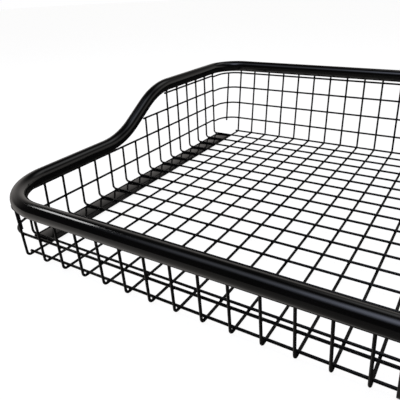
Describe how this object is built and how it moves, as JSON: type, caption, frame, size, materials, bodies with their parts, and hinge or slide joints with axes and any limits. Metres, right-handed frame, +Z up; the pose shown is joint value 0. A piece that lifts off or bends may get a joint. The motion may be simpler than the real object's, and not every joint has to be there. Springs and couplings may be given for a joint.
{
  "type": "folding luggage rack",
  "caption": "Folding welded-mesh luggage basket with a tubular rim, low in front and high behind, hinged along the middle of its floor.",
  "frame": {"origin": "middle of the surface that the opened rack stands on, under the fold", "axes": "+X to the right across the rack, +Y from the low front to the high back, +Z up"},
  "size_m": [1.603, 0.936, 0.2411],
  "materials": {
    "rim_coat": "satin gloss black powder coat on steel tube",
    "wire_coat": "satin black powder coat on welded steel wire",
    "bar_coat": "gloss black powder coat on flat steel bar",
    "moulded_plastic": "moulded black plastic",
    "strip_rubber": "ribbed black rubber",
    "pin_zinc": "zinc plated steel"
  },
  "bodies": {
    "left_half": {"left_rim_tube": "rim_coat", "left_rim_plugs": "moulded_plastic", "left_cross_wires": "wire_coat", "left_long_wires": "wire_coat", "left_border_wires": "wire_coat", "left_side_rails": "wire_coat", "left_front_rails": "wire_coat", "left_back_rails": "wire_coat", "left_corner_uprights": "wire_coat", "left_outer_plate": "bar_coat", "left_fold_frame": "bar_coat", "left_hinge_knuckles": "bar_coat", "left_rest_strip": "strip_rubber", "hinge_pins": "pin_zinc", "hinge_pin_clips": "pin_zinc"},
    "right_half": {"right_rim_tube": "rim_coat", "right_rim_plugs": "moulded_plastic", "right_cross_wires": "wire_coat", "right_long_wires": "wire_coat", "right_border_wires": "wire_coat", "right_side_rails": "wire_coat", "right_front_rails": "wire_coat", "right_back_rails": "wire_coat", "right_corner_uprights": "wire_coat", "right_outer_plate": "bar_coat", "right_fold_frame": "bar_coat", "right_hinge_knuckles": "bar_coat", "right_rest_strip": "strip_rubber"}
  },
  "joints": [
    {"name": "fold_hinge", "type": "hinge", "parent": "left_half", "child": "right_half", "pos_m": [0, 0, 0.006], "axis": [0, 1, 0], "range_deg": [0, 178]}
  ]
}
